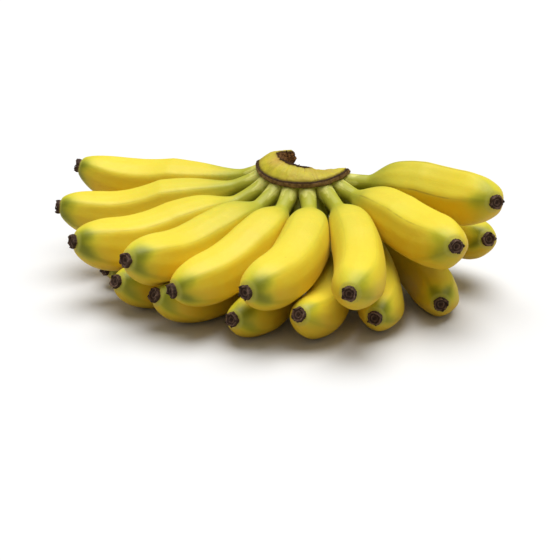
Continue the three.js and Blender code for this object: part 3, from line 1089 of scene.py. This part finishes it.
def press_peel(mesh, line, neighbours, look, seed):
    """Makes the skin uneven, and presses it where it meets its neighbours and the floor."""
    points = read_points(mesh)
    ring = read_rings(mesh)
    centres = line["place"][ring]
    girths = line["girth"][ring]
    radii = np.linalg.norm(points - centres, axis=1)
    wall = radii > END_MIDDLE * girths
    points, centres, girths, radii = points[wall], centres[wall], girths[wall], radii[wall]
    rays = (points - centres) / radii[:, None]

    fullness = smooth_step(girths, STALK_RADIUS * MM, 2 * STALK_RADIUS * MM)
    lumps = lumpy_noise(points, *SKIN_LUMPS, seed)
    radii = radii + look.lump_height * lumps * blend(STALK_LUMPS, 1, fullness)

    def freedom(neighbour, chosen, tried):
        place = centres[chosen] + rays[chosen] * tried[:, None]
        return clearance(neighbour, place) - (tried - girths[chosen]) - look.skin_gap

    for neighbour in neighbours:
        free = freedom(neighbour, slice(None), radii)
        limit = radii + free / 2
        tight = np.flatnonzero(free < 0)
        kept = radii[tight] * LEAST_GIRTH
        half = (radii[tight] - kept) / 2
        for _ in range(PRESS_STEPS):
            kept = np.where(freedom(neighbour, tight, kept + half) >= 0, kept + half, kept)
            half = half / 2
        limit[tight] = kept
        radii = soft_min(radii, limit, look.press_softness)
    falling = rays[:, 2] < LOOKS_DOWN
    limit = np.full(len(radii), FREE_REACH)
    limit[falling] = -centres[falling, 2] / rays[falling, 2]
    radii = soft_min(radii, limit, look.press_softness / 2)

    moved = read_points(mesh)
    moved[wall] = centres + rays * radii[:, None]
    write_points(mesh, moved)


def facing_side(mesh, line, angle):
    """How much each point of a skin faces the side at an angle from its top, from -1 to 1."""
    ring = read_rings(mesh)
    rays = read_points(mesh) - line["place"][ring]
    rays = rays / np.maximum(np.linalg.norm(rays, axis=1), MM * MM)[:, None]
    side = line["up"][ring] * math.cos(angle) + line["side"][ring] * math.sin(angle)
    return np.einsum("ij,ij->i", rays, side)


# ---------------------------------------------------------------------------------------------------------
# The crown.

SECTION_POINTS = 84
SECTION_ROUNDINGS = 2

# The crown's two ends are rounded over a length in millimetres, down to a share of their section.
END_ROUNDING = 1.6
END_SCALE = 0.72

# The radius, in millimetres, by which the map of the crown's skin is measured round it.
MAP_RADIUS = 20

# The azimuths between which the cut's lip ends, its burr starts, and the torn arm gets whole and smooth.
CUT_LIP = (5, 24)
BURR_START = (-75, -50)
LIFTED_ARM = (-148, -122)
TORN_ARM = (-128, -104)

# The burr's height in millimetres, how bare its flesh is, and the share of its depth that the torn arm keeps.
CUT_BURR = 1.0
BURR_CUT = 0.73
TORN_LIFT = 0.05

# How far, in metres, wrinkles lift the skin, tears lift the cut and lumps lift the torn arm.
WRINKLE_HEIGHT = 0.00022
TEAR_HEIGHT = 0.00040
LUMP_HEIGHT = 0.0009

# The size in metres and the seed of each. Fine wrinkles are drawn out down the skin, and broad ones have a
# share of their strength. Tears have smaller ones on them, with their size and strength.
FINE_WRINKLES = (0.0016, 11)
WRINKLE_STRETCH = (1, 1, 0.25)
BROAD_WRINKLES = (0.005, 12)
BROAD_SHARE = 0.6
TEARS = (0.0030, 0.0012, 0.6, 13)
ARM_LUMPS = (0.0045, 15)


def crown_section(azimuth):
    """One section's corners: radius, level, and how far each is cut, below the scar or next to a rim."""
    outer, crest, height, bore = crown_marks(azimuth)
    wall, foot = outer - CROWN_WALL, outer - CROWN_FOOT
    lip = 1 - float(smooth_step(azimuth, *CUT_LIP))
    burr = CUT_BURR * lip * float(smooth_step(azimuth, *BURR_START))
    corners = np.array(
        [
            (bore, -CROWN_DROP, 1, 0, 0),
            (bore, -BORE_LIP - 4, 1, 0, 0),
            (bore, -BORE_LIP, 1, 0, 0),
            (blend(bore, crest, 0.5) - 0.5, blend(-BORE_LIP, height, 0.5) - 0.5, 1, 0, 0),
            (crest - 1.1, height - 1.4, blend(0.4, 1, lip), 0, 0),
            (crest - 0.4, height - 0.2 + burr, min(lip, BURR_CUT), 0, lip),
            (crest + 0.3, height + 0.1 + burr, blend(0.1, BURR_CUT, burr / CUT_BURR) * lip, 0, lip),
            (crest + 1.0, height + 0.2 + 0.2 * burr, BURR_CUT * burr / CUT_BURR, 0, burr / CUT_BURR),
            (crest + 1.4, height, 0, 0, 0),
            (blend(crest, outer, 0.55), blend(SCAR_HALF, height, 0.75), 0, 0, 0),
            (outer - 2.3, SCAR_HALF + 1.3, 0, 0, 0),
            (outer - 1.3, SCAR_HALF + 0.4, 0, 0, 1),
            (outer - 0.9, 0, 0, 0.5, 1),
            (outer - 0.9, -SCAR_HALF, 0, 1, 0.5),
            (wall + 0.2, -SCAR_HALF - SCAR_UNDERCUT, 0, 1, 0),
            (wall, -CROWN_WAIST, 0, 1, 0),
            (foot, -CROWN_DROP, 0, 1, 0),
            (blend(foot, bore, 0.5), -CROWN_DROP, 0.4, 1, 0),
        ],
        float,
    )
    whole = float(smooth_step(azimuth, *LIFTED_ARM))
    low = corners[:, 1] < 0
    corners[low, 1] *= blend(TORN_LIFT, 1, whole)
    corners[low, 2] = np.maximum(corners[low, 2], 1 - whole)
    return corners


def rounded(corners, rounds):
    """A closed outline with its corners cut off again and again."""
    for _ in range(rounds):
        after = np.roll(corners, -1, 0)
        pairs = np.stack([blend(corners, after, 0.25), blend(corners, after, 0.75)], 1)
        corners = pairs.reshape(-1, corners.shape[1])
    return corners


def even_outline(corners, count):
    """The same closed outline with evenly spaced points, and each point's distance along it."""
    closed = np.concatenate([corners, corners[:1]])
    lengths = np.concatenate([[0], np.cumsum(np.linalg.norm(np.diff(closed[:, :2], axis=0), axis=1))])
    wanted = np.linspace(0, lengths[-1], count, endpoint=False)
    columns = [np.interp(wanted, lengths, closed[:, column]) for column in range(closed.shape[1])]
    return np.stack(columns, 1), wanted


def crown_mesh(look):
    """The crown's smooth closed mesh, with what its material reads at each point."""
    azimuths = np.linspace(CROWN_MARKS[0][0], CROWN_MARKS[-1][0], look.steps)
    rings, maps, marks = [], [], []
    for azimuth in azimuths:
        corners = rounded(crown_section(azimuth), SECTION_ROUNDINGS)
        outline, distance = even_outline(corners, SECTION_POINTS)
        reach = math.radians(min(azimuth - azimuths[0], azimuths[-1] - azimuth)) * outline[:, 0].mean()
        inner = 1 - min(reach / END_ROUNDING, 1)
        scale = blend(END_SCALE, 1, math.sqrt(1 - inner * inner))
        middle = outline[:, :2].mean(0)
        flat = middle + (outline[:, :2] - middle) * scale
        rings.append(crown_points(azimuth, flat[:, 0], flat[:, 1]))
        around = np.full_like(distance, math.radians(azimuth) * MAP_RADIUS)
        maps.append(np.stack([around, 0 * distance, distance], 1) * MM)
        cut = np.maximum(outline[:, 2], inner**2)
        marks.append(np.column_stack([cut, outline[:, 3:], np.full_like(distance, azimuth)]))
    mesh = closed_mesh("crown_cushion", np.array(rings))
    ends = [(1, 0, 0, azimuths[0]), (1, 0, 0, azimuths[-1])]
    cut, below, rim, azimuth = np.concatenate([*marks, ends]).T
    maps = np.concatenate([*maps, maps[0][:1], maps[-1][:1]])

    points = read_points(mesh)
    torn = cut * (1 - smooth_step(azimuth, *TORN_ARM))
    wrinkles = lattice_noise(maps * WRINKLE_STRETCH, *FINE_WRINKLES)
    wrinkles = wrinkles + BROAD_SHARE * lattice_noise(maps, *BROAD_WRINKLES)
    tears = lumpy_noise(points, *TEARS)
    lumps = lattice_noise(points, *ARM_LUMPS)
    shift = (1 - cut) * WRINKLE_HEIGHT * wrinkles + cut * TEAR_HEIGHT * tears + torn * LUMP_HEIGHT * lumps
    write_points(mesh, points + read_normals(mesh) * shift[:, None])
    write_attributes(mesh, cut=cut, below=below, rim=rim, round_map=maps)
    return mesh


# The degrees round the crown that the scar covers, and how deep it sits in the crown's edge, how high it runs
# and how far it wavers, in millimetres.
SCAR_ARC = (-116, 66.5)
SCAR_POINTS = 260
SCAR_SEAT = 0.55
SCAR_RISE = 0.4
SCAR_WAVE = 0.12

# At its start the scar has a share of its girth, and it has widened after a length in metres.
SCAR_NARROW = 0.35
SCAR_WIDENS = 0.016

# It swells and slants between two distances from its end, in metres, and closes within the last of it.
SCAR_SWELLING = 0.22
SWELLING = (0.006, 0.001)
SCAR_SLANT = 0.8
SLANTING = (0.005, 0.001)
SCAR_CLOSING = 0.0008
SCAR_LEAST = 0.05

# How far, in metres, its surface is broken up, and by which lumps: their size and that of smaller ones on
# them, the smaller ones' strength, and the seed. The scar wavers every so many degrees, with a seed too.
SCAR_ROUGHNESS = 0.00022
SCAR_LUMPS = (0.0022, 0.0009, 0.7, 31)
WAVE_DEGREES = 12
WAVE_SEED = 21


def scar_line(look):
    """The line that the scar follows round the crown's outer edge."""
    azimuths = np.linspace(*SCAR_ARC, SCAR_POINTS)
    wave = lattice_noise(np.stack([azimuths] * 3, 1), WAVE_DEGREES, WAVE_SEED)
    places = crown_points(azimuths, crown_marks(azimuths)[0] - SCAR_SEAT, SCAR_RISE + SCAR_WAVE * wave)
    turn = np.radians(azimuths)
    outward = np.stack([np.sin(turn), -np.cos(turn), 0 * turn], 1) @ HAND_TURN[:3, :3].T
    upward = np.broadcast_to(HAND_TURN[:3, 2], outward.shape)
    distance = np.concatenate([[0], np.cumsum(np.linalg.norm(np.diff(places, axis=0), axis=1))])
    to_end = distance[-1] - distance
    narrow = blend(SCAR_NARROW, 1, smooth_step(distance, 0, SCAR_WIDENS))
    swollen = 1 + SCAR_SWELLING * smooth_step(to_end, *SWELLING)
    closed = 1 - np.clip(to_end / SCAR_CLOSING, 0, 1)
    along = np.gradient(places, axis=0)
    along = along / np.linalg.norm(along, axis=1)[:, None]
    slant = SCAR_SLANT * smooth_step(to_end, *SLANTING)
    return {
        "place": places,
        "up": (upward - along * slant[:, None]) * (look.scar_height / 2),
        "side": -outward * (look.scar_depth / 2),
        "girth": narrow * swollen * np.sqrt(np.clip(1 - closed**2, SCAR_LEAST, 1)),
        "along": distance,
        "to_end": to_end,
        "ridging": np.ones_like(distance),
    }


def roughen_scar(mesh, line):
    """Breaks up the scar's surface and edges, and marks the face that looks outwards."""
    points = read_points(mesh)
    normals = read_normals(mesh)
    outward = -line["side"][read_rings(mesh)]
    outward = outward / np.linalg.norm(outward, axis=1)[:, None]
    write_attributes(mesh, face=np.clip(np.einsum("ij,ij->i", normals, outward), 0, 1))
    rough = lumpy_noise(points, *SCAR_LUMPS)
    write_points(mesh, points + normals * (SCAR_ROUGHNESS * rough)[:, None])


# ---------------------------------------------------------------------------------------------------------
# The dried flowers.

# Radius and height of the dried flower, from inside the peel up its wall, over its rim and into its hollow.
CUP_PROFILE = [
    (2.2, -0.9),
    (3.2, -0.7),
    (3.60, -0.2),
    (3.80, 0.3),
    (3.90, 0.8),
    (3.90, 1.3),
    (3.78, 1.85),
    (3.50, 2.25),
    (3.15, 2.40),
    (2.85, 2.25),
    (2.60, 1.85),
    (2.35, 1.50),
    (2.05, 1.40),
    (1.75, 1.70),
    (1.45, 1.75),
    (1.15, 1.45),
    (0.85, 1.20),
    (0.55, 1.25),
    (0.28, 1.45),
]

# Where the profile's rim and the dome in its hollow are, by the number of the point, and the rings for each.
CUP_RIM = 8
CUP_DOME = 13.5
CUP_FINENESS = 3

# Shares of the cup's radius that its lobes, its shrinking and its crumpling take, the share of the crumpling
# that goes on in its hollow, and the height of the rim's jags in millimetres.
FLOWER_LOBE = 0.035
FLOWER_SHRINK = 0.08
FLOWER_CRUMPLE = 0.07
HOLLOW_CRUMPLE = 0.4
RIM_JAGS = 0.50

# How long these are round the cup, as a share of its radius.
SHRINK_SIZE = 0.9
CRUMPLE_SIZE = 0.16
JAG_SIZES = (0.42, 0.9)

# How many points of the profile the jags, the worn rim and the worn dome reach, how worn the two are, and
# between which heights in millimetres the foot ends.
JAGS_REACH = 2.2
RIM_REACH, RIM_WEAR = 1.5, 0.75
DOME_REACH, DOME_WEAR = 1.3, 0.6
FOOT_END = (-0.1, 0.5)

# Radius and height where the tepals grow, and the air between a flower and the peel, in millimetres.
TEPAL_PLACE = (3.35, 1.9)
FLOWER_GAP = 0.3
SPINE_POINTS = 400


def near_ring(rings, middle, width):
    """1 at the ring in the middle, and less and less on both sides of it."""
    return np.exp(-(((rings - middle) / width) ** 2))


def cup_mesh(name, look, roll, seed):
    """The lobed and wrinkled cup of a dried flower, standing on the origin."""
    profile = np.array(CUP_PROFILE)
    last = len(profile) - 1
    fine = np.linspace(0, last, CUP_FINENESS * last + 1)
    radius, height = (np.interp(fine, np.arange(last + 1), profile[:, column]) for column in (0, 1))
    turn = np.linspace(0, 2 * math.pi, look.sides, endpoint=False)
    around = np.stack([np.cos(turn), np.sin(turn), 0 * turn], 1)
    outer = (fine <= CUP_RIM).astype(float)
    lobes = 1 + FLOWER_LOBE * np.cos(RIDGES * (turn - roll))
    shrunk = 1 + FLOWER_SHRINK * lattice_noise(around, SHRINK_SIZE, seed + 2)
    crumple = FLOWER_CRUMPLE * lattice_noise(around, CRUMPLE_SIZE, seed)
    crumple = crumple * blend(HOLLOW_CRUMPLE, 1, outer[:, None])
    reach = radius[:, None] * lobes * shrunk * (1 + crumple)
    small, large = JAG_SIZES
    jagged = lattice_noise(around + 5, small, seed + 1) + lattice_noise(around + 9, large, seed + 3)
    level = height[:, None] + RIM_JAGS * near_ring(fine, CUP_RIM, JAGS_REACH)[:, None] * jagged
    rings = np.stack([reach * around[:, 0], reach * around[:, 1], level], -1) * MM
    mesh = closed_mesh(name, rings)
    worn = RIM_WEAR * near_ring(fine, CUP_RIM, RIM_REACH) + DOME_WEAR * near_ring(fine, CUP_DOME, DOME_REACH)
    foot = (1 - smooth_step(height, *FOOT_END)) * outer
    write_attributes(
        mesh,
        worn=np.append(np.repeat(worn, look.sides), [0, 0]),
        foot=np.append(np.repeat(foot, look.sides), [1, 0]),
        skin_map=np.concatenate([rings.reshape(-1, 3), np.zeros((2, 3))]),
    )
    return mesh


def tip_matrix(banana):
    """The place and turn of a banana's tip: Z along it and X to its side."""
    parts = np.linspace(0, 1, SPINE_POINTS)
    along, up, side = (axis[-1] for axis in banana.axes(parts))
    place = banana.spine(parts)[-1] + along * FLOWER_GAP * MM
    matrix = np.eye(4)
    matrix[:3, :3] = np.stack([side, up, along], 1)
    matrix[:3, 3] = place
    return Matrix(matrix.tolist())


# ---------------------------------------------------------------------------------------------------------
# Operators.

# The seeds of the first banana's lumps and flower, and of the fibres.
LUMP_SEED = 100
FLOWER_SEED = 300
FIBRE_SEED = 5

# The scar's skin: points round it, and its four edges.
SCAR_SKIN = {"Sides": 36, "Ridges": 4, "Ridge Height": -0.06, "Ridge Sharpness": 0.0, "Roll": 0.0}

# Half of the floor's width in metres, where the overhead light stands, and the camera's sensor and reach.
FLOOR_HALF = 4.0
KEY_PLACE = (0.08, 0.1, 1.0)
SENSOR_WIDTH = 36.0
CLIPPING = (0.05, 20.0)


class BANANAHAND_OT_bananas(bpy.types.Operator):
    """Grow every banana's skin along its spine and press it against its neighbours"""

    bl_idname = "banana_hand.bananas"
    bl_label = "Grow the bananas"

    def execute(self, context):
        look = context.scene.banana_hand.peel
        material = peel_material(look)
        tree = sweep_tree()
        lines = [banana_line(banana, look.rings) for banana in BANANAS]
        for number, (banana, line) in enumerate(zip(BANANAS, lines)):
            inputs = {
                "Sides": look.sides,
                "Ridges": RIDGES,
                "Ridge Height": look.ridge_height * banana.ridged,
                "Ridge Sharpness": look.ridge_sharpness,
                "Roll": banana.roll + math.pi / RIDGES,
                "Skin": material,
            }
            piece = swept_piece(f"peel_{banana.name}", tree, line, inputs)
            neighbours = [other for other in lines if other is not line and come_near(line, other)]
            press_peel(piece.data, line, neighbours, look, LUMP_SEED + 2 * number)
            write_attributes(
                piece.data,
                greenness=banana.greenness,
                rubbed=banana.rubbed,
                # upward, the normal's Z, drives the painted light and shade on the peel and the stalks.
                upward=read_normals(piece.data)[:, 2],
                green_side=facing_side(piece.data, line, banana.green_side) * banana.tip_green_and_shade,
            )
            finish_piece(piece, "banana_peel", f"banana_{banana.name}")
        return {"FINISHED"}


class BANANAHAND_OT_crown(bpy.types.Operator):
    """Build the crown with its cut face, the corky scar round it and the torn fibres of the cut"""

    bl_idname = "banana_hand.crown"
    bl_label = "Build the crown"

    def execute(self, context):
        look = context.scene.banana_hand.crown
        skin = crown_material(look)
        mesh = crown_mesh(look)
        mesh.materials.append(skin)
        cushion = link_object("crown_cushion", mesh)

        line = scar_line(look)
        scar = swept_piece("crown_scar", sweep_tree(), line, {**SCAR_SKIN, "Skin": scar_material(look)})
        roughen_scar(scar.data, line)

        fibres = link_object("crown_fibres", mesh.copy())
        measures = {"Density": look.fibre_density, "Length": look.fibre_length}
        grow(fibres, fibre_tree(), {**measures, "Seed": FIBRE_SEED, "Skin": skin})
        write_attributes(fibres.data, cut=1)

        finish_piece(cushion, "crown_skin", "crown")
        finish_piece(scar, "crown_skin")
        finish_piece(fibres, "crown_skin")
        return {"FINISHED"}


class BANANAHAND_OT_flowers(bpy.types.Operator):
    """Set a dried flower with torn tepals on every tip"""

    bl_idname = "banana_hand.flowers"
    bl_label = "Dry the flowers"

    def execute(self, context):
        look = context.scene.banana_hand.flower
        material = flower_material(look)
        tree = tepal_tree()
        for number, banana in enumerate(BANANAS):
            name = f"flower_{banana.name}"
            cup = cup_mesh(name, look, math.pi / 2 - banana.roll, FLOWER_SEED + 2 * number)
            piece = link_object(name, cup)
            inputs = {
                "Count": look.tepals,
                "Rim Radius": TEPAL_PLACE[0] * MM,
                "Rim Height": TEPAL_PLACE[1] * MM,
                "Length": look.tepal_length,
                "Width": look.tepal_width,
                "Seed": number,
                "Skin": material,
            }
            grow(piece, tree, inputs)
            piece.data.transform(tip_matrix(banana))
            finish_piece(piece, "dried_flower", f"dried_{name}")
        return {"FINISHED"}


class BANANAHAND_OT_stage(bpy.types.Operator):
    """Set up the pale floor, the soft studio light and the camera"""

    bl_idname = "banana_hand.stage"
    bl_label = "Set the stage"

    def execute(self, context):
        look = context.scene.banana_hand.stage
        scene = context.scene
        scene.view_settings.view_transform = "Standard"
        corners = [(-1, -1, 0), (1, -1, 0), (1, 1, 0), (-1, 1, 0)]
        mesh = bpy.data.meshes.new("floor")
        mesh.from_pydata([Vector(corner) * FLOOR_HALF for corner in corners], [], [(0, 1, 2, 3)])
        mesh.materials.append(floor_material(look))
        link_object("floor", mesh)

        scene.world = bpy.data.worlds.new("soft_sky")
        scene.world.use_nodes = True
        sky = scene.world.node_tree.nodes["Background"].inputs
        feed(sky, {"Color": (1.0, 1.0, 1.0, 1.0), "Strength": look.sky})

        key = bpy.data.lights.new("key_light", "SUN")
        key.energy = look.key
        key.angle = look.key_spread
        lamp = link_object("key_light", key)
        lamp.location = KEY_PLACE
        lamp.rotation_euler = (-Vector(KEY_PLACE)).to_track_quat("-Z", "Y").to_euler()

        camera = bpy.data.cameras.new("camera")
        camera.lens = look.lens
        camera.sensor_width = SENSOR_WIDTH
        camera.clip_start, camera.clip_end = CLIPPING
        scene.camera = link_object("camera", camera)
        scene.camera.location = look.camera_place
        scene.camera.rotation_euler = (math.pi / 2 - look.tilt, 0.0, 0.0)
        return {"FINISHED"}


class BANANAHAND_PT_panel(bpy.types.Panel):
    """The hand's operators and settings in the sidebar"""

    bl_idname = "BANANAHAND_PT_panel"
    bl_label = "Banana Hand"
    bl_space_type = "VIEW_3D"
    bl_region_type = "UI"
    bl_category = "Banana Hand"

    def draw(self, context):
        hand = context.scene.banana_hand
        for operator in OPERATORS:
            self.layout.operator(operator.bl_idname)
        for group in (hand.peel, hand.crown, hand.flower, hand.stage):
            box = self.layout.box()
            for name in group.bl_rna.properties.keys():
                if name not in ("rna_type", "name"):
                    box.prop(group, name)


OPERATORS = (BANANAHAND_OT_stage, BANANAHAND_OT_bananas, BANANAHAND_OT_crown, BANANAHAND_OT_flowers)
SETTINGS = (PeelSettings, CrownSettings, FlowerSettings, StageSettings, HandSettings)


def register():
    """Adds the settings, the operators and the panel."""
    for made in (*SETTINGS, *OPERATORS, BANANAHAND_PT_panel):
        bpy.utils.register_class(made)
    bpy.types.Scene.banana_hand = PointerProperty(type=HandSettings)


def unregister():
    """Takes them away again."""
    del bpy.types.Scene.banana_hand
    for made in reversed((*SETTINGS, *OPERATORS, BANANAHAND_PT_panel)):
        bpy.utils.unregister_class(made)


def main():
    """Builds the whole hand."""
    register()
    bpy.ops.banana_hand.stage()
    bpy.ops.banana_hand.bananas()
    bpy.ops.banana_hand.crown()
    bpy.ops.banana_hand.flowers()


if __name__ == "__main__":
    main()
